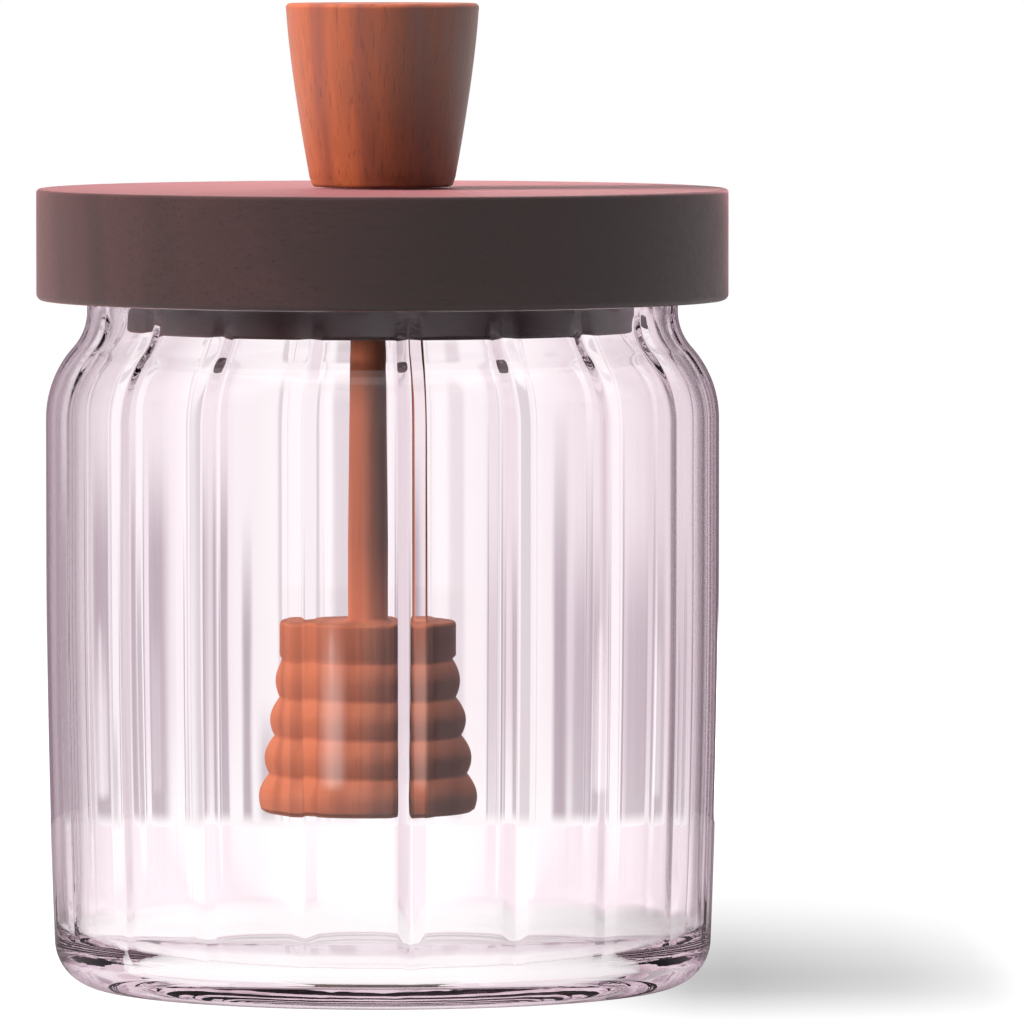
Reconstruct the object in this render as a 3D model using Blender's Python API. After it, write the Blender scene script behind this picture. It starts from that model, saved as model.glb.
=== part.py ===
"""Ribbed glass honey jar with a wooden plug lid, a conical knob and a hanging honey dipper.

The base stands on Z = 0 with the jar's axis on Z. Every solid is turned, and the jar's wall
carries upright ribs on its inside, one of them a little to the right of the front (-Y).
"""

import math

import bmesh
import bpy

MM = 0.001
TOUCH_GAP = 0.3 * MM
WELD = 0.001 * MM
SHARP_ANGLE = math.radians(35.0)

# Sides of each turned solid
LID_SIDES = 72
KNOB_SIDES = 48
DIPPER_SIDES = 36
SOCKET_SIDES = 20

# Jar
BODY_RADIUS = 51.1 * MM
NECK_RADIUS = 44.8 * MM
WALL = 2.2 * MM
FLOOR = 4.5 * MM
BASE_TAPER = 1.2 * MM
TAPER_TOP = 68.0 * MM
BASE_CORNER = 7.3 * MM
INNER_CORNER = 6.0 * MM
SHOULDER_START = 86.4 * MM
SHOULDER_RADIUS = 16.0 * MM
SHOULDER_SWEEP = math.radians(42.0)
PUNT_RADIUS = 36.0 * MM
PUNT_DEPTH = 0.8 * MM
PUNT_SLOPE = 2.0 * MM

# Ribs
RIB_COUNT = 19
RIB_HALF_WIDTH = 2.1 * MM
RIB_HEIGHT = 0.55 * MM
RIB_PHASE = math.radians(-90.0 + 6.3)
RIB_SAMPLES = 6
RIB_FLANK = 0.55

# Lid
LID_RADIUS = 52.5 * MM
LID_BOTTOM = 104.3 * MM
LID_THICKNESS = 16.9 * MM
LID_TOP_EDGE = 0.5 * MM
LID_BOTTOM_EDGE = 0.9 * MM
PLUG_RADIUS = 38.6 * MM
PLUG_DEPTH = 5.2 * MM
PLUG_EDGE = 0.8 * MM

# Knob
KNOB_HEIGHT = 27.8 * MM
KNOB_FOOT_RADIUS = 10.8 * MM
KNOB_TOP_RADIUS = 14.65 * MM
KNOB_FLARE = 1.36
KNOB_EDGE = 0.6 * MM

# Dipper
DIPPER_X = -2.1 * MM
SHAFT_TOP_RADIUS = 2.9 * MM
SHAFT_RADIUS = 3.3 * MM
SOCKET_DEPTH = 5.0 * MM
HEAD_TOP = 55.6 * MM
HEAD_BOTTOM = 26.6 * MM
CAP_RADIUS = 13.1 * MM
FIRST_LOBE_RADIUS = 13.8 * MM
LAST_LOBE_RADIUS = 16.6 * MM
LOBES = 4
GROOVE_DEPTH = 1.0 * MM
HEAD_EDGE = 0.6 * MM

LID_TOP = LID_BOTTOM + LID_THICKNESS
PLUG_BOTTOM = LID_BOTTOM - PLUG_DEPTH
RIM_TOP = LID_BOTTOM - TOUCH_GAP
KNOB_BOTTOM = LID_TOP + TOUCH_GAP


def clear_scene():
    for old in list(bpy.data.objects):
        bpy.data.objects.remove(old, do_unlink=True)


def principled(name, colour, roughness, transmission=0.0):
    material = bpy.data.materials.new(name)
    material.use_nodes = True
    shader = material.node_tree.nodes["Principled BSDF"]
    shader.inputs["Base Color"].default_value = (*colour, 1.0)
    shader.inputs["Roughness"].default_value = roughness
    shader.inputs["Metallic"].default_value = 0.0
    shader.inputs["Transmission Weight"].default_value = transmission
    shader.inputs["IOR"].default_value = 1.5
    return material


def arc(centre_r, centre_z, radius, start, end, steps):
    """Points (r, z) on a circle, its angles in degrees from the outward radius."""
    points = []
    for step in range(steps + 1):
        angle = math.radians(start + (end - start) * step / steps)
        points.append((centre_r + radius * math.cos(angle), centre_z + radius * math.sin(angle)))
    return points


def finish_mesh(name, bm, material):
    """An object from the bmesh, its normals out and its round faces smooth."""
    bmesh.ops.recalc_face_normals(bm, faces=bm.faces)
    mesh = bpy.data.meshes.new(name)
    bm.to_mesh(mesh)
    bm.free()
    mesh.shade_smooth()
    mesh.set_sharp_from_angle(angle=SHARP_ANGLE)
    mesh.materials.append(material)
    piece = bpy.data.objects.new(name, mesh)
    bpy.context.scene.collection.objects.link(piece)
    return piece


def spun(profile, segments):
    """A bmesh turned about Z from a profile of (r, z) points that starts and ends on the axis."""
    bm = bmesh.new()
    verts = [bm.verts.new((r, 0.0, z)) for r, z in profile]
    edges = [bm.edges.new(pair) for pair in zip(verts, verts[1:])]
    bmesh.ops.spin(
        bm, geom=verts + edges, cent=(0.0, 0.0, 0.0), axis=(0.0, 0.0, 1.0),
        angle=2.0 * math.pi, steps=segments, use_merge=True,
    )
    bmesh.ops.remove_doubles(bm, verts=bm.verts, dist=WELD)
    return bm


def body_radius(z):
    """Outer radius of the jar's side between the base corner and the shoulder."""
    low = max(0.0, TAPER_TOP - z) / (TAPER_TOP - BASE_CORNER)
    return BODY_RADIUS - BASE_TAPER * low * low


def shoulder(inset, steps):
    """The shoulder's S curve, body to neck, at a depth of inset into the glass."""
    sweep = SHOULDER_SWEEP
    fillet = (BODY_RADIUS - NECK_RADIUS) / (1.0 - math.cos(sweep)) - SHOULDER_RADIUS
    neck_start = SHOULDER_START + (SHOULDER_RADIUS + fillet) * math.sin(sweep)
    turn = math.degrees(sweep)
    round_out = arc(BODY_RADIUS - SHOULDER_RADIUS, SHOULDER_START, SHOULDER_RADIUS - inset, 0.0, turn, steps)
    round_in = arc(NECK_RADIUS + fillet, neck_start, fillet + inset, 180.0 + turn, 180.0, steps)
    return round_out + round_in[1:]


def side_heights(low, steps):
    return [low + (SHOULDER_START - low) * step / steps for step in range(steps)]


def outer_profile():
    """From the axis under the base, out and up to the rim."""
    base_corner = arc(body_radius(BASE_CORNER) - BASE_CORNER, BASE_CORNER, BASE_CORNER, -90.0, 0.0, 4)
    side = [(body_radius(z), z) for z in side_heights(BASE_CORNER, 4)[1:]]
    punt = [(0.0, PUNT_DEPTH), (PUNT_RADIUS - PUNT_SLOPE, PUNT_DEPTH), (PUNT_RADIUS, 0.0)]
    return punt + base_corner + side + shoulder(0.0, 3)


def inner_profile():
    """From the axis on the floor, out and up to the rim."""
    corner_z = FLOOR + INNER_CORNER
    corner = arc(body_radius(corner_z) - WALL - INNER_CORNER, corner_z, INNER_CORNER, -90.0, 0.0, 3)
    side = [(body_radius(z) - WALL, z) for z in side_heights(corner_z, 3)[1:]]
    return [(0.0, FLOOR)] + corner + side + shoulder(WALL, 3)


def rim_profile():
    rim_radius = WALL / 2.0
    return arc(NECK_RADIUS - rim_radius, RIM_TOP - rim_radius, rim_radius, 0.0, 180.0, 4)


def rib_sample(index):
    """Azimuth within one rib's pitch and share of the rib's height, for one of its samples."""
    pitch = 2.0 * math.pi / RIB_COUNT
    half_width = RIB_HALF_WIDTH / (BODY_RADIUS - WALL)
    flank = RIB_FLANK * half_width
    flank_height = 1.0 - RIB_FLANK * RIB_FLANK
    samples = (
        (0.0, 1.0),
        (flank, flank_height),
        (half_width, 0.0),
        (pitch / 2.0, 0.0),
        (pitch - half_width, 0.0),
        (pitch - flank, flank_height),
    )
    return samples[index]


def add_ribs(bm, inner_rings):
    """Turns each inner ring's points to the ribs' feet and crests, and raises the crests."""
    pitch = 2.0 * math.pi / RIB_COUNT
    step = pitch / RIB_SAMPLES
    for vert in bm.verts:
        radius = math.hypot(vert.co.x, vert.co.y)
        if radius < WELD:
            continue
        place = round(math.atan2(vert.co.y, vert.co.x) / step) % (RIB_COUNT * RIB_SAMPLES)
        offset, height = rib_sample(place % RIB_SAMPLES)
        azimuth = RIB_PHASE + pitch * (place // RIB_SAMPLES) + offset
        ribbed = any(math.hypot(radius - r, vert.co.z - z) < WELD for r, z in inner_rings)
        if ribbed:
            radius -= RIB_HEIGHT * height
        vert.co.x = radius * math.cos(azimuth)
        vert.co.y = radius * math.sin(azimuth)


def make_jar():
    """One closed wall of clear glass, smooth outside and ribbed inside."""
    inner = inner_profile()
    profile = outer_profile() + rim_profile()[1:] + list(reversed(inner))[1:]
    bm = spun(profile, RIB_COUNT * RIB_SAMPLES)
    flat_floor_points = 2
    add_ribs(bm, inner[flat_floor_points:])
    return finish_mesh("jar", bm, principled("clear_glass", (0.93, 0.87, 0.89), 0.02, 1.0))


def make_lid():
    """A thick wooden disc with a turned plug under it and a socket for the dipper's shaft."""
    top_edge = arc(LID_RADIUS - LID_TOP_EDGE, LID_TOP - LID_TOP_EDGE, LID_TOP_EDGE, 90.0, 0.0, 2)
    low_edge = arc(LID_RADIUS - LID_BOTTOM_EDGE, LID_BOTTOM + LID_BOTTOM_EDGE, LID_BOTTOM_EDGE, 0.0, -90.0, 3)
    plug_edge = arc(PLUG_RADIUS - PLUG_EDGE, PLUG_BOTTOM + PLUG_EDGE, PLUG_EDGE, 0.0, -90.0, 2)
    profile = [(0.0, LID_TOP)] + top_edge + low_edge + [(PLUG_RADIUS, LID_BOTTOM)] + plug_edge
    profile.append((0.0, PLUG_BOTTOM))
    lid = finish_mesh("lid", spun(profile, LID_SIDES), principled("dark_wood", (0.115, 0.065, 0.055), 0.55))

    socket_top = PLUG_BOTTOM + SOCKET_DEPTH + TOUCH_GAP
    socket_radius = SHAFT_TOP_RADIUS + TOUCH_GAP
    below = PLUG_BOTTOM - SOCKET_DEPTH
    cutter_profile = [(0.0, socket_top), (socket_radius, socket_top), (socket_radius, below), (0.0, below)]
    cutter = finish_mesh("socket_cutter", spun(cutter_profile, SOCKET_SIDES), lid.data.materials[0])
    cutter.location.x = DIPPER_X
    cutter.hide_render = True
    cutter.display_type = "WIRE"
    socket = lid.modifiers.new("socket", "BOOLEAN")
    socket.operation = "DIFFERENCE"
    socket.solver = "EXACT"
    socket.object = cutter
    return lid


def make_knob():
    """An upside-down cone with a slightly flared side, standing on the lid."""
    flank = []
    steps = 5
    for step in range(1, steps):
        share = step / steps
        flare = 1.0 - (1.0 - share) ** KNOB_FLARE
        radius = KNOB_FOOT_RADIUS + (KNOB_TOP_RADIUS - KNOB_FOOT_RADIUS) * flare
        flank.append((radius, KNOB_BOTTOM + KNOB_HEIGHT * share))
    knob_top = KNOB_BOTTOM + KNOB_HEIGHT
    top_edge = arc(KNOB_TOP_RADIUS - KNOB_EDGE, knob_top - KNOB_EDGE, KNOB_EDGE, 90.0, 0.0, 2)
    foot_edge = arc(KNOB_FOOT_RADIUS - KNOB_EDGE, KNOB_BOTTOM + KNOB_EDGE, KNOB_EDGE, 0.0, -90.0, 2)
    profile = [(0.0, knob_top)] + top_edge + list(reversed(flank)) + foot_edge + [(0.0, KNOB_BOTTOM)]
    return finish_mesh("knob", spun(profile, KNOB_SIDES), principled("warm_wood", (0.30, 0.13, 0.07), 0.5))


def lobe_radius(lobe):
    """Widest radius of one ring of the head, counted from 0 at the top."""
    return FIRST_LOBE_RADIUS + (LAST_LOBE_RADIUS - FIRST_LOBE_RADIUS) * lobe / (LOBES - 1)


def groove_radius(lobe):
    """Radius at the bottom of the groove above a ring of the head."""
    if lobe == 0:
        return CAP_RADIUS - GROOVE_DEPTH / 2.0
    return (lobe_radius(lobe - 1) + lobe_radius(lobe)) / 2.0 - GROOVE_DEPTH


def lobe_profile(lobe, top_z, bottom_z):
    """One rounded ring of the head, from the groove above it to just short of the one below it."""
    steps = 4
    last = lobe == LOBES - 1
    low_radius = LAST_LOBE_RADIUS - HEAD_EDGE if last else groove_radius(lobe + 1)
    high_radius = groove_radius(lobe)
    points = []
    for step in range(steps):
        share = step / steps
        chord = high_radius + (low_radius - high_radius) * share
        bulge = lobe_radius(lobe) - (high_radius + low_radius) / 2.0
        points.append((chord + bulge * math.sin(math.pi * share), top_z + (bottom_z - top_z) * share))
    return points


def head_profile():
    """The head's flat top, straight cap, rounded rings and flat underside."""
    section = (HEAD_TOP - HEAD_BOTTOM) / (LOBES + 1)
    points = arc(CAP_RADIUS - HEAD_EDGE, HEAD_TOP - HEAD_EDGE, HEAD_EDGE, 90.0, 0.0, 2)
    points.append((CAP_RADIUS, HEAD_TOP - section + HEAD_EDGE))
    for lobe in range(LOBES):
        top_z = HEAD_TOP - section * (lobe + 1)
        points += lobe_profile(lobe, top_z, top_z - section)
    low_edge = arc(LAST_LOBE_RADIUS - 2.0 * HEAD_EDGE, HEAD_BOTTOM + HEAD_EDGE, HEAD_EDGE, 0.0, -90.0, 2)
    return points + low_edge + [(0.0, HEAD_BOTTOM)]


def make_dipper():
    """The shaft and the ringed head, turned from one stick, with its top in the plug's socket."""
    shaft_top = PLUG_BOTTOM + SOCKET_DEPTH
    shaft = [(0.0, shaft_top), (SHAFT_TOP_RADIUS, shaft_top), (SHAFT_TOP_RADIUS, PLUG_BOTTOM)]
    shaft += [(SHAFT_RADIUS, HEAD_TOP + SHAFT_RADIUS), (SHAFT_RADIUS, HEAD_TOP)]
    profile = shaft + head_profile()
    wood = principled("dipper_wood", (0.42, 0.17, 0.10), 0.5)
    dipper = finish_mesh("dipper", spun(profile, DIPPER_SIDES), wood)
    dipper.location.x = DIPPER_X
    return dipper


def main():
    clear_scene()
    make_jar()
    make_lid()
    make_knob()
    make_dipper()


main()
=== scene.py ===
import math

import bmesh
import bpy
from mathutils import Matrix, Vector, noise


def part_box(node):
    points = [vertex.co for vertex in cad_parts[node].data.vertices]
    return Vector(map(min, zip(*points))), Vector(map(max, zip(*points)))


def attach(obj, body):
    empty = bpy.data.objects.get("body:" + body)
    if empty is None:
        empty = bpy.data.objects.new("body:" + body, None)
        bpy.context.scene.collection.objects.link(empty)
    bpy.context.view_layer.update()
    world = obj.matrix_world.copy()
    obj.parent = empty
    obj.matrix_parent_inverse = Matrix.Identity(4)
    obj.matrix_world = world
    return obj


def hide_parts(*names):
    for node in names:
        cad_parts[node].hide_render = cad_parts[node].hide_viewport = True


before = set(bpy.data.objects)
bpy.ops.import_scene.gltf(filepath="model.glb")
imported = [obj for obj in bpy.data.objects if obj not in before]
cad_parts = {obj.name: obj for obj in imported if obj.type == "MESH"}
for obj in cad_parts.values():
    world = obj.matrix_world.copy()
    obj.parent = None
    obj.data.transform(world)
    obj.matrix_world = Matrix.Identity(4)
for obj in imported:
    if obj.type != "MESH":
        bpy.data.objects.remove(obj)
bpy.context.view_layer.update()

MM = 0.001

# Sizes read from the frame
JAR_LOW, JAR_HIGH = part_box("jar")
LID_LOW, LID_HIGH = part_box("lid")
KNOB_LOW, KNOB_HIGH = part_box("knob")
DIPPER_LOW, DIPPER_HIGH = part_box("dipper")
BODY_RADIUS = (JAR_HIGH[1] - JAR_LOW[1]) / 2.0
RIM_TOP = JAR_HIGH[2]
LID_RADIUS = (LID_HIGH[0] - LID_LOW[0]) / 2.0
LID_TOP = LID_HIGH[2]
PLUG_BOTTOM = LID_LOW[2]
KNOB_TOP_RADIUS = (KNOB_HIGH[0] - KNOB_LOW[0]) / 2.0
KNOB_TOP = KNOB_HIGH[2]
KNOB_BOTTOM = KNOB_LOW[2]
DIPPER_X = (DIPPER_LOW[0] + DIPPER_HIGH[0]) / 2.0
LAST_LOBE_RADIUS = (DIPPER_HIGH[1] - DIPPER_LOW[1]) / 2.0
HEAD_BOTTOM = DIPPER_LOW[2]
SHAFT_TOP = DIPPER_HIGH[2]

# Jar
NECK_RADIUS = 44.8 * MM
WALL = 2.2 * MM
FLOOR = 4.5 * MM
FLOOR_RING = 20.0 * MM
BASE_TAPER = 1.2 * MM
TAPER_TOP = 68.0 * MM
BASE_CORNER = 7.3 * MM
INNER_CORNER = 6.0 * MM
SHOULDER_START = 86.4 * MM
SHOULDER_RADIUS = 16.0 * MM
SHOULDER_SWEEP = math.radians(42.0)
RIM_EDGE = 0.1 * MM
PUNT_RADIUS = 36.0 * MM
PUNT_DEPTH = 0.8 * MM
PUNT_SLOPE = 2.0 * MM
CORNER_STEPS = 14
SIDE_STEPS = 30
RIM_STEPS = 5

# Ribs inside the jar, from the front one round to the right
RIB_COUNT = 19
RIB_PHASE = math.radians(-90.0 + 5.6)
RIB_HALF_WIDTH = 2.15 * MM
RIB_POWER = 1.15
RIB_CREST = 0.07
FRONT_RIB_HEIGHT = 0.95 * MM
NEXT_RIB_HEIGHT = 0.36 * MM
RIB_HEIGHTS = [height * MM for height in (0.20, 0.26, 0.17, 0.10)]
RIB_FOOT_FADE = 12.0 * MM
RIB_TOP_FADE = 4.0 * MM
RIB_SAMPLES = 22
PANEL_SAMPLES = 10
# The ribs stand higher for a short way at the shoulder
SHOULDER_SWELL = 0.22 * MM
SWELL_HEIGHT = 97.0 * MM
SWELL_REACH = 3.5 * MM
# Curvature per metre by which the panels between the ribs thicken away from their middle
PANEL_BEND = 4.0
WAVE_DEPTH = 0.03 * MM
# The inside keeps its turned shape up to this height above its floor
TURNED_FLOOR = 0.2 * MM

# Lid
LID_BOTTOM = 104.3 * MM
LID_TOP_EDGE = 0.6 * MM
LID_BOTTOM_EDGE = 1.0 * MM
LID_SIDES = 192
PLUG_RADIUS = 38.6 * MM
PLUG_EDGE = 0.8 * MM
PLUG_ROOT_WIDTH = 0.4 * MM
PLUG_ROOT_HEIGHT = 0.3 * MM
EDGE_STEPS = 6

# Knob
KNOB_FOOT_RADIUS = 10.8 * MM
KNOB_FLARE = 1.36
KNOB_EDGE = 0.7 * MM
KNOB_STEPS = 20
KNOB_SIDES = 128

# Dipper
SHAFT_TOP_RADIUS = 2.9 * MM
SHAFT_RADIUS = 3.3 * MM
SHAFT_TAPER_END = 12.0 * MM
SHAFT_ROOT = 0.5 * MM
HEAD_TOP = 55.6 * MM
CAP_RADIUS = 13.1 * MM
FIRST_LOBE_RADIUS = 13.8 * MM
LOBES = 4
LOBE_POWER = 0.85
LOBE_STEPS = 14
GROOVE_DEPTH = 1.2 * MM
HEAD_EDGE = 0.6 * MM
DIPPER_SIDES = 96

# Woods: pale, dark and vein colours
DARK_WOOD = ((0.06, 0.03, 0.03), (0.042, 0.023, 0.023), (0.05, 0.025, 0.025))
LID_SHEEN = (1.0, 0.4, 0.44)
WARM_WOOD = ((0.54, 0.128, 0.048), (0.34, 0.08, 0.042), (0.41, 0.094, 0.038))
DIPPER_WOOD = ((0.52, 0.17, 0.085), (0.39, 0.12, 0.06), (0.45, 0.14, 0.07))
# How much the patterns of a wood are drawn out along its grain
GRAIN_STRETCH = 0.12
FINE_STRETCH = 0.03
BROAD_SCALE = 55.0
FIBRE_SCALE = 900.0
PORE_SCALE = 2600.0
GRAIN_DEPTH = 0.12 * MM

# Glass: its tint, darkened by painted shade as the surface turns away, its body tint, its tint on lamp
# light
GLASS_TINT_AND_EDGE_SHADE = ((0.0, (1.0, 0.985, 0.99)), (0.62, (1.0, 0.98, 0.985)), (0.72, (0.96, 0.93, 0.95)),
               (0.81, (0.57, 0.455, 0.515)), (1.0, (0.31, 0.225, 0.27)))
GLASS_BODY = (0.55, 0.2, 0.38)
GLASS_DENSITY = 6.0
GLASS_SHADOW = (0.97, 0.94, 0.95)
GLASS_IOR = 1.5
STREAK_STRETCH = 0.08
STREAK_SCALE = 160.0
STREAK_DEPTH = 0.06 * MM

# Camera: fitted from the lid's and the base's ellipses
CAMERA_DISTANCE = 1969.0 * MM
CAMERA_HEIGHT = 169.4 * MM
CAMERA_X = 19.64 * MM
CAMERA_PITCH = math.radians(2.83)
FOCAL_PIXELS = 12983.0
PHOTO_PIXELS = 1024.0
SENSOR_WIDTH = 36.0

# Floor
FLOOR_REACH = 6.0
FLOOR_DROP = 0.15 * MM
FLOOR_PAINT = 0.1
# Darkness of the soft shadow painted on the floor right of the jar, by x, and its share by y, in mm
SHADOW_ACROSS = ((12.0, 0.0), (34.0, 0.22), (47.0, 0.52), (54.0, 0.54), (79.0, 0.38), (91.0, 0.23),
                 (100.0, 0.0))
SHADOW_ALONG = ((-75.0, 0.0), (-43.0, 0.43), (-8.0, 0.93), (10.0, 1.0), (27.0, 1.0), (62.0, 0.86),
                (100.0, 0.63), (140.0, 0.38), (225.0, 0.0))
# Through the glass, the floor takes on the tent's colours from the first of these radii to the second
TINT_START = 52.0 * MM
TINT_END = 140.0 * MM

# Tent
TENT_RADIUS = 330.0 * MM
TENT_TOP = 420.0 * MM
TENT_SIDES = 4
TENT_STEPS = 96
# Colours of the tent by turn from the middle of a side, in degrees, as seen through the glass
TENT_SHADES = ((-45.0, (0.4, 0.32, 0.36)), (-30.0, (0.92, 0.82, 0.87)), (-19.0, (0.98, 0.88, 0.93)),
               (-10.0, (0.96, 0.86, 0.91)), (-7.0, (1.08, 1.02, 1.05)), (-4.0, (1.12, 1.08, 1.1)),
               (4.0, (1.1, 1.04, 1.07)), (8.0, (0.96, 0.86, 0.91)), (17.0, (0.92, 0.8, 0.86)),
               (27.0, (0.62, 0.52, 0.57)), (38.0, (0.18, 0.13, 0.16)), (45.0, (0.4, 0.32, 0.36)))
# In the middle of a side, the tent fades to this above the floor, so that no line shows where they meet
SEAM_LIGHT = (1.12, 1.1, 1.11)
SEAM_FADE = 26.0 * MM
SEAM_TURN = 14.0
SEAM_SOFTNESS = 10.0
# Bands seen through the glass: middle, half width and softness in degrees, top and fade in mm, strength
MAUVE = (0.46, 0.37, 0.43)
BANDS = ((-12.3, 3.0, 1.6, 72.0, 26.0, 0.85), (-5.9, 0.3, 0.35, 60.0, 30.0, 0.8),
         (-4.2, 0.5, 0.5, 24.0, 14.0, 0.6), (-2.4, 0.7, 0.4, 110.0, 30.0, 0.45),
         (1.9, 0.5, 0.4, 110.0, 30.0, 0.3), (6.3, 0.6, 0.5, 84.0, 50.0, 0.9),
         (11.3, 3.2, 1.8, 60.0, 30.0, 0.75))
BAND_FOOT = 3.0 * MM
# Colours and pale strips that the outside of the glass mirrors
MIRROR_SHADES = ((-45.0, (0.12, 0.09, 0.1)), (-30.0, (0.2, 0.15, 0.18)), (0.0, (0.34, 0.27, 0.31)),
                 (16.0, (0.08, 0.06, 0.07)), (38.0, (0.03, 0.02, 0.025)), (45.0, (0.12, 0.09, 0.1)))
GLEAM = (5.0, 4.85, 4.85)
GLEAMS = ((14.9, 2.6, 2.6, 42.0, 26.0, 0.85), (15.5, 0.6, 1.0, 40.0, 8.0, 0.8),
          (-12.5, 1.6, 1.6, 42.0, 20.0, 0.5))

# Lamps: turn right of straight behind and rise in degrees, distance and size in m, power in W, colour
LAMPS = {
    "low_key": (-103.0, 12.0, 0.9, (0.25, 0.25), 8.4, (1.0, 0.9, 0.86)),
    "high_key": (-106.0, 58.0, 0.8, (0.6, 0.6), 5.5, (1.0, 0.98, 0.97)),
    "top": (0.0, 90.0, 1.22, (0.2, 0.2), 9.0, (1.0, 0.98, 0.98)),
    "back": (20.0, 14.0, 0.9, (0.5, 0.25), 0.25, (1.0, 0.97, 0.97)),
    "fill": (-132.0, 6.0, 0.9, (0.3, 0.3), 0.3, (1.0, 0.96, 0.95)),
    "side": (-132.0, 6.0, 0.9, (0.3, 0.3), 3.6, (1.0, 1.0, 1.02)),
}
SHADOWLESS_LAMPS = ("top", "back")
LAMP_AIM = 80.0 * MM
# A small lamp over the far right of the lid
SPILL_PLACE = (38.0 * MM, 75.0 * MM, 215.0 * MM)
SPILL_SIZE = 80.0 * MM
SPILL_POWER = 0.5
SPILL_COLOUR = (1.0, 0.97, 0.97)

# World: its light seen through the glass and mirrored by it, and at the right and the left elsewhere
WORLD_THROUGH = (1.12, 1.1, 1.12)
WORLD_MIRRORED = (1.15, 1.12, 1.13)
WORLD_ON_WOOD = ((0.82, 0.82, 0.84), (0.9, 0.66, 0.64))
WORLD_SOFT = ((0.012, 0.012, 0.012), (0.09, 0.085, 0.085))


def tuned(material, **values):
    """Sets the sockets of the material's Principled shader, by name with spaces as underscores."""
    shader = material.node_tree.nodes["Principled BSDF"]
    for name, value in values.items():
        shader.inputs[name.replace("_", " ")].default_value = value
    return shader


def new_material(name):
    material = bpy.data.materials.new(name)
    material.use_nodes = True
    return material


def node(tree, kind, **inputs):
    """A node with its sockets set, by name with spaces as underscores."""
    made = tree.nodes.new(kind)
    for name, value in inputs.items():
        made.inputs[name.replace("_", " ")].default_value = value
    return made


def ramp(tree, source, stops):
    """A colour ramp fed by source, with stops of (position, colour)."""
    made = tree.nodes.new("ShaderNodeValToRGB")
    elements = made.color_ramp.elements
    while len(elements) < len(stops):
        elements.new(0.5)
    for element, (position, colour) in zip(elements, stops):
        element.position = position
        element.color = (*colour, 1.0)
    tree.links.new(source, made.inputs["Fac"])
    return made.outputs["Color"]


def grey_ramp(tree, source, *stops):
    """A ramp of greys, with stops of (position, level)."""
    return ramp(tree, source, [(position, (level,) * 3) for position, level in stops])


def mapped(tree, scale=(1.0, 1.0, 1.0), rotation=(0.0, 0.0, 0.0), location=(0.0, 0.0, 0.0)):
    """Object coordinates, scaled, turned and moved."""
    place = tree.nodes.new("ShaderNodeTexCoord")
    mapping = node(tree, "ShaderNodeMapping", Scale=scale, Rotation=rotation, Location=location)
    tree.links.new(place.outputs["Object"], mapping.inputs["Vector"])
    return mapping.outputs["Vector"]


def noise_of(tree, vector, scale, detail, roughness=0.55):
    made = node(tree, "ShaderNodeTexNoise", Scale=scale, Detail=detail, Roughness=roughness)
    tree.links.new(vector, made.inputs["Vector"])
    return made.outputs["Fac"]


def mixed(tree, factor, first, second, blend="MIX"):
    """A colour mix; factor, first and second are sockets or values."""
    made = tree.nodes.new("ShaderNodeMix")
    made.data_type = "RGBA"
    made.blend_type = blend
    for socket, value in ((made.inputs[0], factor), (made.inputs[6], first), (made.inputs[7], second)):
        if isinstance(value, bpy.types.NodeSocket):
            tree.links.new(value, socket)
        elif isinstance(value, tuple):
            socket.default_value = (*value, 1.0)
        else:
            socket.default_value = value
    return made.outputs[2]


def along_grain(grain, stretch):
    """The scale that draws a pattern out along the grain, which runs in x or in z."""
    return (stretch, 1.0, 1.0) if grain == "x" else (1.0, 1.0, stretch)


def growth_rings(tree, grain, scale, shift):
    """Soft bands along the grain, bent as growth rings are."""
    rings = node(tree, "ShaderNodeTexWave", Scale=scale, Distortion=5.0, Detail=2.5, Detail_Scale=0.9,
                 Detail_Roughness=0.5)
    rings.wave_type = "BANDS"
    rings.bands_direction = "Y" if grain == "x" else "X"
    rings.wave_profile = "SIN"
    vector = mapped(tree, along_grain(grain, GRAIN_STRETCH), (0.1, 0.06, 0.15), shift)
    tree.links.new(vector, rings.inputs["Vector"])
    return rings.outputs["Fac"]


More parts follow.
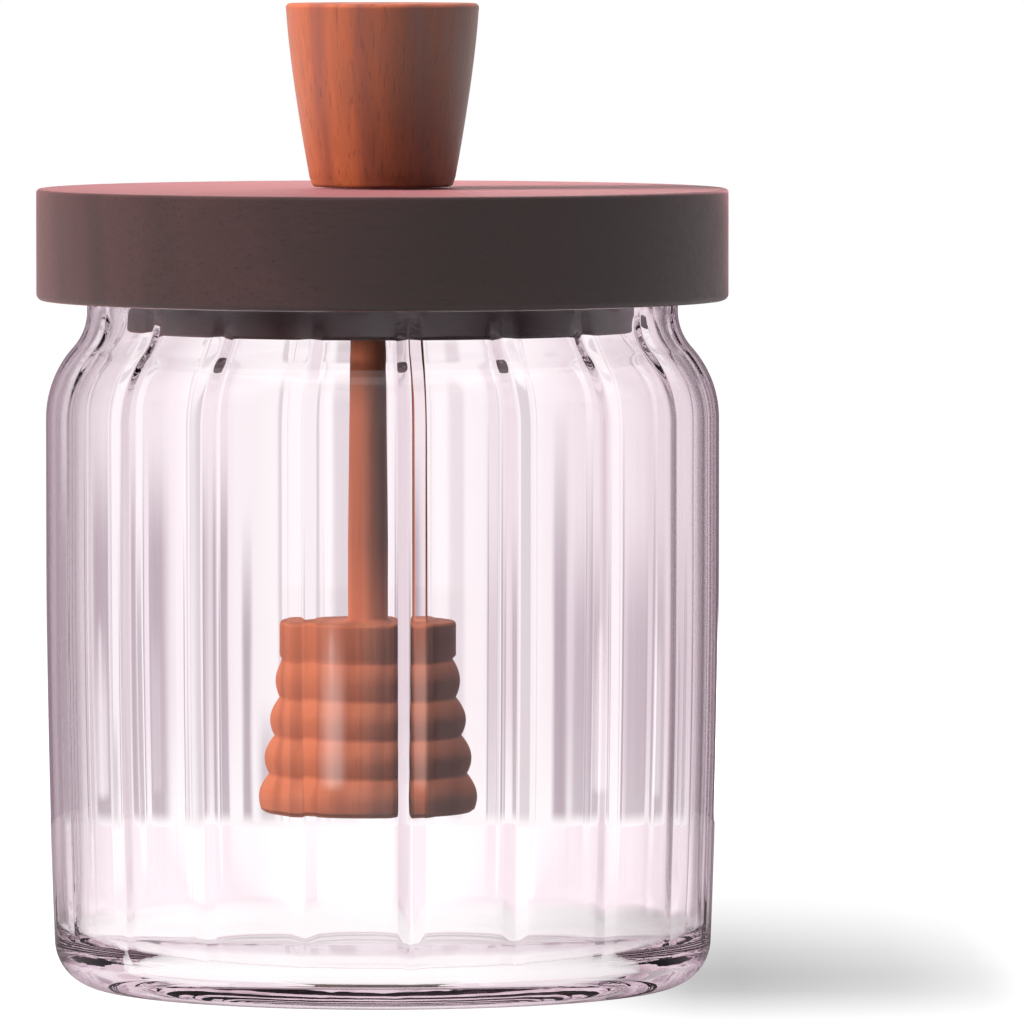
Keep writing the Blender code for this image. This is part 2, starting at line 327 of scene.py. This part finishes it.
def wood(name, colours, grain, ring_scale, roughness, seed, specular, streaks=0.45):
    """Turned wood: growth rings, long fibres, fine dark pores and a satin oil."""
    pale, dark, vein = colours
    material = new_material(name)
    tree = material.node_tree
    shader = tuned(material, Roughness=roughness, Specular_IOR_Level=specular)
    shift = (seed * 0.013, seed * 0.007, seed * 0.011)
    fine = along_grain(grain, FINE_STRETCH)
    rings = growth_rings(tree, grain, ring_scale, shift)
    broad_place = mapped(tree, along_grain(grain, GRAIN_STRETCH), location=shift)
    broad = noise_of(tree, broad_place, BROAD_SCALE, 3.0)
    fibres = noise_of(tree, mapped(tree, fine, (0.02, 0.03, 0.0), shift), FIBRE_SCALE, 4.0, 0.6)
    pores = noise_of(tree, mapped(tree, fine, (0.0, 0.02, 0.03), shift), PORE_SCALE, 2.0, 0.5)

    ring_colour = ramp(tree, rings, [(0.0, dark), (0.55, pale), (1.0, pale)])
    tone = mixed(tree, grey_ramp(tree, broad, (0.35, 0.0), (0.7, 0.75)), ring_colour, vein)
    fibre_shade = grey_ramp(tree, fibres, (0.3, 0.42), (0.7, 1.0))
    streaked = mixed(tree, streaks, tone, fibre_shade, "MULTIPLY")
    pore_shade = grey_ramp(tree, pores, (0.3, 0.35), (0.42, 1.0))
    pored = mixed(tree, 1.3 * streaks, streaked, pore_shade, "MULTIPLY")
    tree.links.new(pored, shader.inputs["Base Color"])

    gloss = node(tree, "ShaderNodeMapRange", To_Min=roughness - 0.08, To_Max=roughness + 0.12)
    tree.links.new(fibres, gloss.inputs["Value"])
    tree.links.new(gloss.outputs["Result"], shader.inputs["Roughness"])

    bump = node(tree, "ShaderNodeBump", Strength=0.35, Distance=GRAIN_DEPTH)
    tree.links.new(mixed(tree, 0.5, fibres, pores), bump.inputs["Height"])
    tree.links.new(bump.outputs["Normal"], shader.inputs["Normal"])
    return material


def clear_glass():
    """Clear glass, faintly mauve, with painted shade that darkens its edges; lamp light passes straight
    through.
    """
    material = new_material("clear_glass")
    tree = material.node_tree
    shader = tuned(material, Base_Color=(*GLASS_TINT_AND_EDGE_SHADE[0][1], 1.0), Roughness=0.0, IOR=GLASS_IOR,
                   Transmission_Weight=1.0)
    streaks = noise_of(tree, mapped(tree, along_grain("z", STREAK_STRETCH)), STREAK_SCALE, 2.0)
    bump = node(tree, "ShaderNodeBump", Strength=0.15, Distance=STREAK_DEPTH)
    tree.links.new(streaks, bump.inputs["Height"])
    tree.links.new(bump.outputs["Normal"], shader.inputs["Normal"])
    # Painted shade: the glass's colour darkens as its surface turns away from the view
    facing = node(tree, "ShaderNodeLayerWeight", Blend=0.5)
    tree.links.new(ramp(tree, facing.outputs["Facing"], GLASS_TINT_AND_EDGE_SHADE), shader.inputs["Base Color"])

    through = node(tree, "ShaderNodeBsdfTransparent", Color=(*GLASS_SHADOW, 1.0))
    rays = tree.nodes.new("ShaderNodeLightPath")
    mix = tree.nodes.new("ShaderNodeMixShader")
    tree.links.new(rays.outputs["Is Shadow Ray"], mix.inputs["Fac"])
    tree.links.new(shader.outputs["BSDF"], mix.inputs[1])
    tree.links.new(through.outputs["BSDF"], mix.inputs[2])
    out = tree.nodes["Material Output"]
    tree.links.new(mix.outputs["Shader"], out.inputs["Surface"])
    tint = node(tree, "ShaderNodeVolumeAbsorption", Color=(*GLASS_BODY, 1.0), Density=GLASS_DENSITY)
    tree.links.new(tint.outputs["Volume"], out.inputs["Volume"])
    return material


def arc(centre_r, centre_z, radius, start, end, steps):
    """Points (r, z) on a circle, its angles in degrees from the outward radius."""
    points = []
    for step in range(steps + 1):
        angle = math.radians(start + (end - start) * step / steps)
        points.append((centre_r + radius * math.cos(angle), centre_z + radius * math.sin(angle)))
    return points


def lathe(name, profile, azimuths, material, moved=None):
    """A closed solid turned from a profile of (r, z) points that starts and ends on the axis.

    moved(index, r, z, azimuth) may return another (r, z) for a point of the profile.
    """
    bm = bmesh.new()
    rings = []
    for index, (r, z) in enumerate(profile):
        if r < 1e-7:
            rings.append([bm.verts.new((0.0, 0.0, z))])
            continue
        ring = []
        for azimuth in azimuths:
            near_r, near_z = moved(index, r, z, azimuth) if moved else (r, z)
            ring.append(bm.verts.new((near_r * math.cos(azimuth), near_r * math.sin(azimuth), near_z)))
        rings.append(ring)
    count = len(azimuths)
    for first, second in zip(rings, rings[1:]):
        for k in range(count):
            after = (k + 1) % count
            if len(first) == 1:
                bm.faces.new((first[0], second[k], second[after]))
            elif len(second) == 1:
                bm.faces.new((first[after], first[k], second[0]))
            else:
                bm.faces.new((first[after], first[k], second[k], second[after]))
    bmesh.ops.recalc_face_normals(bm, faces=bm.faces)
    mesh = bpy.data.meshes.new(name)
    bm.to_mesh(mesh)
    bm.free()
    mesh.shade_smooth()
    mesh.materials.append(material)
    piece = bpy.data.objects.new(name, mesh)
    bpy.context.scene.collection.objects.link(piece)
    return piece


def even_turn(count):
    return [2.0 * math.pi * k / count for k in range(count)]


def body_radius(z):
    """The jar's outer radius below the shoulder, which tapers in towards the base."""
    low = max(0.0, TAPER_TOP - z) / (TAPER_TOP - BASE_CORNER)
    return BODY_RADIUS - BASE_TAPER * low * low


def shoulder(inset):
    """The shoulder's S curve, body to neck, at a depth of inset into the glass."""
    sweep = SHOULDER_SWEEP
    fillet = (BODY_RADIUS - NECK_RADIUS) / (1.0 - math.cos(sweep)) - SHOULDER_RADIUS
    neck_start = SHOULDER_START + (SHOULDER_RADIUS + fillet) * math.sin(sweep)
    turn = math.degrees(sweep)
    round_out = arc(BODY_RADIUS - SHOULDER_RADIUS, SHOULDER_START, SHOULDER_RADIUS - inset, 0.0, turn,
                    CORNER_STEPS)
    round_in = arc(NECK_RADIUS + fillet, neck_start, fillet + inset, 180.0 + turn, 180.0, CORNER_STEPS)
    return round_out + round_in[1:]


def side_of(start, inset):
    """Points up the body from a height to the shoulder, at a depth of inset into the glass."""
    rise = SHOULDER_START - start
    heights = [start + rise * step / SIDE_STEPS for step in range(1, SIDE_STEPS)]
    return [(body_radius(z) - inset, z) for z in heights]


def jar_profile():
    """(points, inner) from under the base, up outside, over the rim and down inside.

    inner is the index at which the inside starts.
    """
    slope_start = PUNT_RADIUS - PUNT_SLOPE
    punt = [(0.0, PUNT_DEPTH), (PUNT_RADIUS * 0.5, PUNT_DEPTH), (slope_start, PUNT_DEPTH * 0.94),
            (PUNT_RADIUS - PUNT_SLOPE * 0.5, PUNT_DEPTH * 0.5), (PUNT_RADIUS, 0.0)]
    corner = arc(body_radius(BASE_CORNER) - BASE_CORNER, BASE_CORNER, BASE_CORNER, -90.0, 0.0, CORNER_STEPS)
    outer = punt + corner + side_of(BASE_CORNER, 0.0) + shoulder(0.0)
    rim = arc(NECK_RADIUS - RIM_EDGE, RIM_TOP - RIM_EDGE, RIM_EDGE, 0.0, 90.0, RIM_STEPS)
    rim += arc(NECK_RADIUS - WALL + RIM_EDGE, RIM_TOP - RIM_EDGE, RIM_EDGE, 90.0, 180.0, RIM_STEPS)

    corner_z = FLOOR + INNER_CORNER
    corner_r = body_radius(corner_z) - WALL - INNER_CORNER
    inner = [(0.0, FLOOR), (FLOOR_RING, FLOOR), (PUNT_RADIUS, FLOOR)]
    inner += arc(corner_r, corner_z, INNER_CORNER, -90.0, 0.0, CORNER_STEPS)
    inner += side_of(corner_z, WALL) + shoulder(WALL)
    return outer + rim + inner[::-1], len(outer) + len(rim)


def rib_azimuths(pitch, half_width):
    """Azimuths close together over each rib and further apart over the panel after it."""
    azimuths = []
    for rib in range(RIB_COUNT):
        middle = RIB_PHASE + pitch * rib
        for k in range(RIB_SAMPLES):
            azimuths.append(middle + half_width * (2.0 * k / RIB_SAMPLES - 1.0))
        for k in range(PANEL_SAMPLES):
            azimuths.append(middle + half_width + (pitch - 2.0 * half_width) * k / PANEL_SAMPLES)
    return azimuths


def rib_heights():
    heights = [RIB_HEIGHTS[rib % len(RIB_HEIGHTS)] for rib in range(RIB_COUNT)]
    heights[:2] = FRONT_RIB_HEIGHT, NEXT_RIB_HEIGHT
    return heights


def make_jar():
    """Smooth outside, upright ribs inside, with the slight waves of blown glass."""
    profile, inner_start = jar_profile()
    pitch = 2.0 * math.pi / RIB_COUNT
    inner_radius = BODY_RADIUS - WALL
    half_width = RIB_HALF_WIDTH / inner_radius
    heights = rib_heights()

    def moved(index, r, z, azimuth):
        if index < inner_start or z < FLOOR + TURNED_FLOOR:
            return r, z
        turn = (azimuth - RIB_PHASE) / pitch
        rib = round(turn)
        off = (turn - rib) * pitch / half_width
        fade = min(1.0, (z - FLOOR) / RIB_FOOT_FADE) * min(1.0, (RIM_TOP - z) / RIB_TOP_FADE)
        swell = SHOULDER_SWELL * math.exp(-((z - SWELL_HEIGHT) / SWELL_REACH) ** 2)
        if abs(off) < 1.0:
            ridge = 1.0 - math.hypot(off, RIB_CREST) ** RIB_POWER
            r -= (heights[rib % RIB_COUNT] + swell) * fade * max(0.0, ridge)
        from_panel = (0.5 - abs(turn - rib)) * pitch * inner_radius
        r -= PANEL_BEND * fade * from_panel * from_panel / 2.0
        wave = noise.noise(Vector((math.cos(azimuth) * 3.0, math.sin(azimuth) * 3.0, z * 12.0)))
        return r + WAVE_DEPTH * wave * fade, z

    jar = lathe("jar_wall", profile, rib_azimuths(pitch, half_width), clear_glass(), moved)
    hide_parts("jar")
    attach(jar, "root")


def make_lid():
    """The disc with its plug, in dark wood with a red sheen."""
    profile = [(0.0, LID_TOP), (LID_RADIUS * 0.5, LID_TOP)]
    profile += arc(LID_RADIUS - LID_TOP_EDGE, LID_TOP - LID_TOP_EDGE, LID_TOP_EDGE, 90.0, 0.0, EDGE_STEPS)
    profile += [(LID_RADIUS, LID_BOTTOM + (LID_TOP - LID_BOTTOM) * share) for share in (0.75, 0.5, 0.25)]
    profile += arc(LID_RADIUS - LID_BOTTOM_EDGE, LID_BOTTOM + LID_BOTTOM_EDGE, LID_BOTTOM_EDGE, 0.0, -90.0,
                   EDGE_STEPS)
    profile += [(PLUG_RADIUS + PLUG_ROOT_WIDTH, LID_BOTTOM), (PLUG_RADIUS, LID_BOTTOM - PLUG_ROOT_HEIGHT)]
    profile += arc(PLUG_RADIUS - PLUG_EDGE, PLUG_BOTTOM + PLUG_EDGE, PLUG_EDGE, 0.0, -90.0, EDGE_STEPS)
    profile += [(PLUG_RADIUS * 0.5, PLUG_BOTTOM), (0.0, PLUG_BOTTOM)]
    material = wood("dark_wood", DARK_WOOD, grain="x", ring_scale=30.0, roughness=0.5, seed=3,
                    specular=0.5)
    tuned(material, Sheen_Weight=0.38, Sheen_Roughness=0.35, Sheen_Tint=(*LID_SHEEN, 1.0))
    lid = lathe("lid_disc", profile, even_turn(LID_SIDES), material)
    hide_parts("lid")
    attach(lid, "root")
    return lid


def make_knob():
    """An upside-down cone with a slightly bulging flank, in warm wood."""
    flank = []
    for step in range(1, KNOB_STEPS):
        share = step / KNOB_STEPS
        flare = 1.0 - (1.0 - share) ** KNOB_FLARE
        radius = KNOB_FOOT_RADIUS + (KNOB_TOP_RADIUS - KNOB_FOOT_RADIUS) * flare
        flank.append((radius, KNOB_BOTTOM + (KNOB_TOP - KNOB_BOTTOM) * share))
    profile = [(0.0, KNOB_TOP), (KNOB_TOP_RADIUS * 0.5, KNOB_TOP)]
    profile += arc(KNOB_TOP_RADIUS - KNOB_EDGE, KNOB_TOP - KNOB_EDGE, KNOB_EDGE, 90.0, 0.0, EDGE_STEPS)
    profile += flank[::-1]
    profile += arc(KNOB_FOOT_RADIUS - KNOB_EDGE, KNOB_BOTTOM + KNOB_EDGE, KNOB_EDGE, 0.0, -90.0, EDGE_STEPS)
    profile.append((0.0, KNOB_BOTTOM))
    material = wood("warm_wood", WARM_WOOD, grain="z", ring_scale=45.0, roughness=0.45, seed=8,
                    specular=0.85)
    tuned(material, IOR=1.58)
    knob = lathe("knob_cone", profile, even_turn(KNOB_SIDES), material)
    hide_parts("knob")
    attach(knob, "root")


def lobe_radius(lobe):
    return FIRST_LOBE_RADIUS + (LAST_LOBE_RADIUS - FIRST_LOBE_RADIUS) * lobe / (LOBES - 1)


def groove_radius(lobe):
    """The radius of the groove above a lobe."""
    if lobe == 0:
        return CAP_RADIUS - GROOVE_DEPTH / 2.0
    return (lobe_radius(lobe - 1) + lobe_radius(lobe)) / 2.0 - GROOVE_DEPTH


def lobe_profile(lobe, top_z, bottom_z):
    """One rounded ring of the head, from the groove above it to just short of the one below it."""
    last = lobe == LOBES - 1
    low_radius = LAST_LOBE_RADIUS - HEAD_EDGE if last else groove_radius(lobe + 1)
    high_radius = groove_radius(lobe)
    bulge = lobe_radius(lobe) - (high_radius + low_radius) / 2.0
    points = []
    for step in range(LOBE_STEPS):
        share = step / LOBE_STEPS
        chord = high_radius + (low_radius - high_radius) * share
        radius = chord + bulge * math.sin(math.pi * share) ** LOBE_POWER
        points.append((radius, top_z + (bottom_z - top_z) * share))
    return points


def make_dipper():
    """The shaft and its head, a straight cap over rounded rings, in reddish wood."""
    section = (HEAD_TOP - HEAD_BOTTOM) / (LOBES + 1)
    profile = [(0.0, SHAFT_TOP), (SHAFT_TOP_RADIUS, SHAFT_TOP), (SHAFT_TOP_RADIUS, PLUG_BOTTOM),
               (SHAFT_RADIUS, HEAD_TOP + SHAFT_TAPER_END), (SHAFT_RADIUS, HEAD_TOP + SHAFT_ROOT),
               (SHAFT_RADIUS + SHAFT_ROOT, HEAD_TOP)]
    profile += arc(CAP_RADIUS - HEAD_EDGE, HEAD_TOP - HEAD_EDGE, HEAD_EDGE, 90.0, 0.0, EDGE_STEPS)
    profile.append((CAP_RADIUS, HEAD_TOP - section + HEAD_EDGE))
    for lobe in range(LOBES):
        top_z = HEAD_TOP - section * (lobe + 1)
        profile += lobe_profile(lobe, top_z, top_z - section)
    profile += arc(LAST_LOBE_RADIUS - 2.0 * HEAD_EDGE, HEAD_BOTTOM + HEAD_EDGE, HEAD_EDGE, 0.0, -90.0,
                   EDGE_STEPS)
    profile.append((0.0, HEAD_BOTTOM))
    material = wood("dipper_wood", DIPPER_WOOD, grain="z", ring_scale=60.0, roughness=0.6, seed=15,
                    specular=0.6, streaks=0.15)
    dipper = lathe("dipper_turned", profile, even_turn(DIPPER_SIDES), material)
    dipper.location.x = DIPPER_X
    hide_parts("dipper")
    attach(dipper, "root")
    return dipper


def show_only(material, shown):
    """The material's surface shows where shown is 1 and is clear where it is 0."""
    tree = material.node_tree
    clear = tree.nodes.new("ShaderNodeBsdfTransparent")
    mix = tree.nodes.new("ShaderNodeMixShader")
    tree.links.new(shown, mix.inputs["Fac"])
    tree.links.new(clear.outputs["BSDF"], mix.inputs[1])
    tree.links.new(tree.nodes["Principled BSDF"].outputs["BSDF"], mix.inputs[2])
    tree.links.new(mix.outputs["Shader"], tree.nodes["Material Output"].inputs["Surface"])


def calculated(tree, operation, first, second=0.0):
    """A Math node; first and second are sockets or numbers."""
    made = tree.nodes.new("ShaderNodeMath")
    made.operation = operation
    for socket, value in zip(made.inputs, (first, second)):
        if isinstance(value, bpy.types.NodeSocket):
            tree.links.new(value, socket)
        else:
            socket.default_value = value
    return made.outputs[0]


def eased(tree, value, start, end):
    """0 up to start and 1 from end on, with a soft change between them; end may lie below start."""
    made = node(tree, "ShaderNodeMapRange", From_Min=start, From_Max=end)
    made.interpolation_type = "SMOOTHSTEP"
    tree.links.new(value, made.inputs["Value"])
    return made.outputs["Result"]


def line_through(tree, value, stops):
    """The height at value, in metres, of a line through stops of (place in mm, height)."""
    first, last = stops[0][0], stops[-1][0]
    spread = node(tree, "ShaderNodeMapRange", From_Min=first * MM, From_Max=last * MM)
    tree.links.new(value, spread.inputs["Value"])
    places = [((place - first) / (last - first), height) for place, height in stops]
    return grey_ramp(tree, spread.outputs["Result"], *places)


def split_up(tree, vector):
    """The x, y and z of a vector."""
    split = tree.nodes.new("ShaderNodeSeparateXYZ")
    tree.links.new(vector, split.inputs["Vector"])
    return split.outputs["X"], split.outputs["Y"], split.outputs["Z"]


def length_of(tree, vector):
    made = tree.nodes.new("ShaderNodeVectorMath")
    made.operation = "LENGTH"
    tree.links.new(vector, made.inputs[0])
    return made.outputs["Value"]


def turn_in_side(tree, x, y):
    """The turn about the jar's axis within one side of the tent, from -0.5 to 0.5."""
    sides = calculated(tree, "MULTIPLY", calculated(tree, "ARCTAN2", x, y), TENT_SIDES / (2.0 * math.pi))
    share = calculated(tree, "FRACT", calculated(tree, "ADD", sides, 0.5))
    return calculated(tree, "SUBTRACT", share, 0.5)


def shades(tree, in_side, stops):
    """The colour at a turn in one side, from stops given in degrees."""
    width = 360.0 / TENT_SIDES
    places = [(degrees / width + 0.5, colour) for degrees, colour in stops]
    return ramp(tree, calculated(tree, "ADD", in_side, 0.5), places)


def banded(tree, turn, height, colour, bands, tint):
    """The colour with soft upright bands of the tint laid over it."""
    for middle, half_width, softness, top, fade, strength in bands:
        off = calculated(tree, "ABSOLUTE", calculated(tree, "SUBTRACT", turn, middle))
        across = eased(tree, off, half_width + softness, half_width - softness / 2.0)
        up = eased(tree, height, top * MM, (top - fade) * MM)
        weight = calculated(tree, "MULTIPLY", calculated(tree, "MULTIPLY", across, up), strength)
        weight = calculated(tree, "MULTIPLY", weight, eased(tree, height, 0.0, BAND_FOOT))
        colour = mixed(tree, weight, colour, tint)
    return colour


def make_floor():
    """A white floor with the jar's soft shadow in its paint, which gives no diffuse light.

    Through the glass, it takes on the tent's colours away from the jar. Where the glass mirrors it, it
    is as dark as the mirrored tent.
    """
    material = new_material("floor_paint")
    material.cycles.emission_sampling = "NONE"
    tree = material.node_tree
    shader = tuned(material, Base_Color=(FLOOR_PAINT,) * 3 + (1.0,), Roughness=0.8,
                   Specular_IOR_Level=0.0, Emission_Strength=1.0)
    place = mapped(tree)
    x, y, _ = split_up(tree, place)
    # Painted shadow: the floor's glow is darkened right of the jar
    across = line_through(tree, x, SHADOW_ACROSS)
    shadow = calculated(tree, "MULTIPLY", across, line_through(tree, y, SHADOW_ALONG))
    white = mixed(tree, shadow, (1.0, 1.0, 1.0), (0.0, 0.0, 0.0))
    rays = tree.nodes.new("ShaderNodeLightPath")
    inside = calculated(tree, "GREATER_THAN", rays.outputs["Transmission Depth"], 0.5)
    in_side = turn_in_side(tree, x, y)
    outward = eased(tree, length_of(tree, place), TINT_START, TINT_END)
    tent_tint = shades(tree, in_side, TENT_SHADES)
    tinted = mixed(tree, calculated(tree, "MULTIPLY", inside, outward), white, tent_tint)
    outside = calculated(tree, "SUBTRACT", 1.0, inside)
    mirrored = calculated(tree, "MULTIPLY", rays.outputs["Is Singular Ray"], outside)
    glow = mixed(tree, mirrored, tinted, shades(tree, in_side, MIRROR_SHADES))
    tree.links.new(glow, shader.inputs["Emission Color"])
    show_only(material, calculated(tree, "LESS_THAN", rays.outputs["Diffuse Depth"], 0.5))

    mesh = bpy.data.meshes.new("floor")
    corners = [(x_sign * FLOOR_REACH, y_sign * FLOOR_REACH, -FLOOR_DROP)
               for x_sign, y_sign in ((-1, -1), (1, -1), (1, 1), (-1, 1))]
    mesh.from_pydata(corners, [], [(0, 1, 2, 3)])
    mesh.materials.append(material)
    floor = bpy.data.objects.new("floor", mesh)
    floor.visible_diffuse = False
    bpy.context.scene.collection.objects.link(floor)


def tent_cloth():
    """What the tent shows: mauve bands through the glass, and dark shades and gleams mirrored off it."""
    material = new_material("tent_light")
    material.cycles.emission_sampling = "NONE"
    tree = material.node_tree
    shader = tuned(material, Base_Color=(0.0, 0.0, 0.0, 1.0), Roughness=1.0, Specular_IOR_Level=0.0,
                   Emission_Strength=1.0)
    x, y, z = split_up(tree, mapped(tree))
    in_side = turn_in_side(tree, x, y)
    turn = calculated(tree, "MULTIPLY", in_side, 360.0 / TENT_SIDES)
    plain = shades(tree, in_side, TENT_SHADES)
    lifted = mixed(tree, eased(tree, z, 0.0, SEAM_FADE), SEAM_LIGHT, plain)
    middle = eased(tree, calculated(tree, "ABSOLUTE", turn), SEAM_TURN + SEAM_SOFTNESS, SEAM_TURN)
    through = banded(tree, turn, z, mixed(tree, middle, plain, lifted), BANDS, MAUVE)
    mirror = banded(tree, turn, z, shades(tree, in_side, MIRROR_SHADES), GLEAMS, GLEAM)
    rays = tree.nodes.new("ShaderNodeLightPath")
    inside = calculated(tree, "GREATER_THAN", rays.outputs["Transmission Depth"], 0.5)
    tree.links.new(mixed(tree, inside, mirror, through), shader.inputs["Emission Color"])
    by_glass = calculated(tree, "MAXIMUM", rays.outputs["Is Singular Ray"], inside)
    undimmed = calculated(tree, "LESS_THAN", rays.outputs["Diffuse Depth"], 0.5)
    show_only(material, calculated(tree, "MULTIPLY", by_glass, undimmed))
    return material


def make_tent():
    """A round studio tent of four equal sides, pale in their middles, which only the glass sees."""
    verts = []
    for azimuth in even_turn(TENT_STEPS):
        for z in (0.0, TENT_TOP):
            verts.append((TENT_RADIUS * math.cos(azimuth), TENT_RADIUS * math.sin(azimuth), z))
    faces = []
    for k in range(TENT_STEPS):
        after = (k + 1) % TENT_STEPS
        faces.append((2 * k, 2 * after, 2 * after + 1, 2 * k + 1))
    mesh = bpy.data.meshes.new("tent")
    mesh.from_pydata(verts, [], faces)
    mesh.materials.append(tent_cloth())
    tent = bpy.data.objects.new("tent", mesh)
    bpy.context.scene.collection.objects.link(tent)
    tent.visible_camera = False
    tent.visible_diffuse = False
    tent.visible_shadow = False


def area_light(name, place, target, size, power, colour):
    """A lamp that no camera, mirrored or refracted ray sees."""
    data = bpy.data.lights.new(name, "AREA")
    data.shape = "RECTANGLE"
    data.size, data.size_y = size
    data.energy = power
    data.color = colour
    lamp = bpy.data.objects.new(name, data)
    lamp.location = place
    lamp.rotation_euler = (Vector(target) - Vector(place)).to_track_quat("-Z", "Y").to_euler()
    lamp.visible_camera = False
    lamp.visible_glossy = False
    lamp.visible_transmission = False
    bpy.context.scene.collection.objects.link(lamp)
    return lamp


def aimed_light(name, turn, rise, distance, size, power, colour):
    """A lamp aimed at the jar from a turn to the right of straight behind, and a rise."""
    flat = distance * math.cos(math.radians(rise))
    side = math.radians(turn)
    height = LAMP_AIM + distance * math.sin(math.radians(rise))
    place = (flat * math.sin(side), flat * math.cos(side), height)
    return area_light(name, place, (0.0, 0.0, LAMP_AIM), size, power, colour)


def light_only(lamp, piece):
    """Keeps a lamp's light to one piece."""
    lit = bpy.data.collections.new(lamp.name + "_lit")
    lit.objects.link(piece)
    lamp.light_linking.receiver_collection = lit


def make_lights(lid, dipper):
    """The lamps; the side lamp lights the dipper alone, and the spill the lid alone."""
    lamps = {name: aimed_light(name, *values) for name, values in LAMPS.items()}
    for name in SHADOWLESS_LAMPS:
        lamps[name].data.use_shadow = False
    light_only(lamps["side"], dipper)
    x, y, _ = SPILL_PLACE
    spill = area_light("spill", SPILL_PLACE, (x, y / 2.0, LID_TOP), (SPILL_SIZE, SPILL_SIZE), SPILL_POWER,
                       SPILL_COLOUR)
    light_only(spill, lid)


def make_world():
    """White to the camera, bright to the glass, dimmer to the woods' gloss and soft as diffuse light."""
    world = bpy.data.worlds.new("studio")
    world.use_nodes = True
    world.cycles.sampling_method = "NONE"
    bpy.context.scene.world = world
    tree = world.node_tree
    place = tree.nodes.new("ShaderNodeTexCoord")
    x, _, _ = split_up(tree, place.outputs["Generated"])
    spread = node(tree, "ShaderNodeMapRange", From_Min=0.6, From_Max=-1.0)
    tree.links.new(x, spread.inputs["Value"])
    leftness = spread.outputs["Result"]
    rays = tree.nodes.new("ShaderNodeLightPath")
    crossings = rays.outputs["Transmission Depth"]
    on_glass = mixed(tree, calculated(tree, "LESS_THAN", crossings, 0.5), WORLD_THROUGH, WORLD_MIRRORED)
    by_glass = calculated(tree, "MAXIMUM", rays.outputs["Is Singular Ray"], crossings)
    on_wood = mixed(tree, leftness, *WORLD_ON_WOOD)
    bright = mixed(tree, calculated(tree, "LESS_THAN", by_glass, 0.5), on_glass, on_wood)
    diffuse = calculated(tree, "GREATER_THAN", rays.outputs["Diffuse Depth"], 0.5)
    unseen = mixed(tree, diffuse, bright, mixed(tree, leftness, *WORLD_SOFT))
    colour = mixed(tree, rays.outputs["Is Camera Ray"], unseen, (1.0, 1.0, 1.0))
    tree.links.new(colour, tree.nodes["Background"].inputs["Color"])


def make_camera():
    data = bpy.data.cameras.new("camera")
    data.sensor_width = SENSOR_WIDTH
    data.lens = FOCAL_PIXELS * SENSOR_WIDTH / PHOTO_PIXELS
    data.clip_start, data.clip_end = 0.05, 60.0
    camera = bpy.data.objects.new("camera", data)
    camera.location = (CAMERA_X, -CAMERA_DISTANCE, CAMERA_HEIGHT)
    camera.rotation_euler = (math.radians(90.0) - CAMERA_PITCH, 0.0, 0.0)
    bpy.context.scene.collection.objects.link(camera)
    bpy.context.scene.camera = camera


def set_look():
    """Plain colours, and enough bounces for the light that the thick base mirrors within itself."""
    scene = bpy.context.scene
    scene.view_settings.view_transform = "Standard"
    scene.cycles.use_denoising = True
    scene.cycles.max_bounces = 24
    scene.cycles.transmission_bounces = 20
    scene.cycles.glossy_bounces = 24
    scene.cycles.transparent_max_bounces = 24


make_camera()
make_floor()
make_tent()
set_look()
make_jar()
lid = make_lid()
make_knob()
dipper = make_dipper()
make_lights(lid, dipper)
make_world()
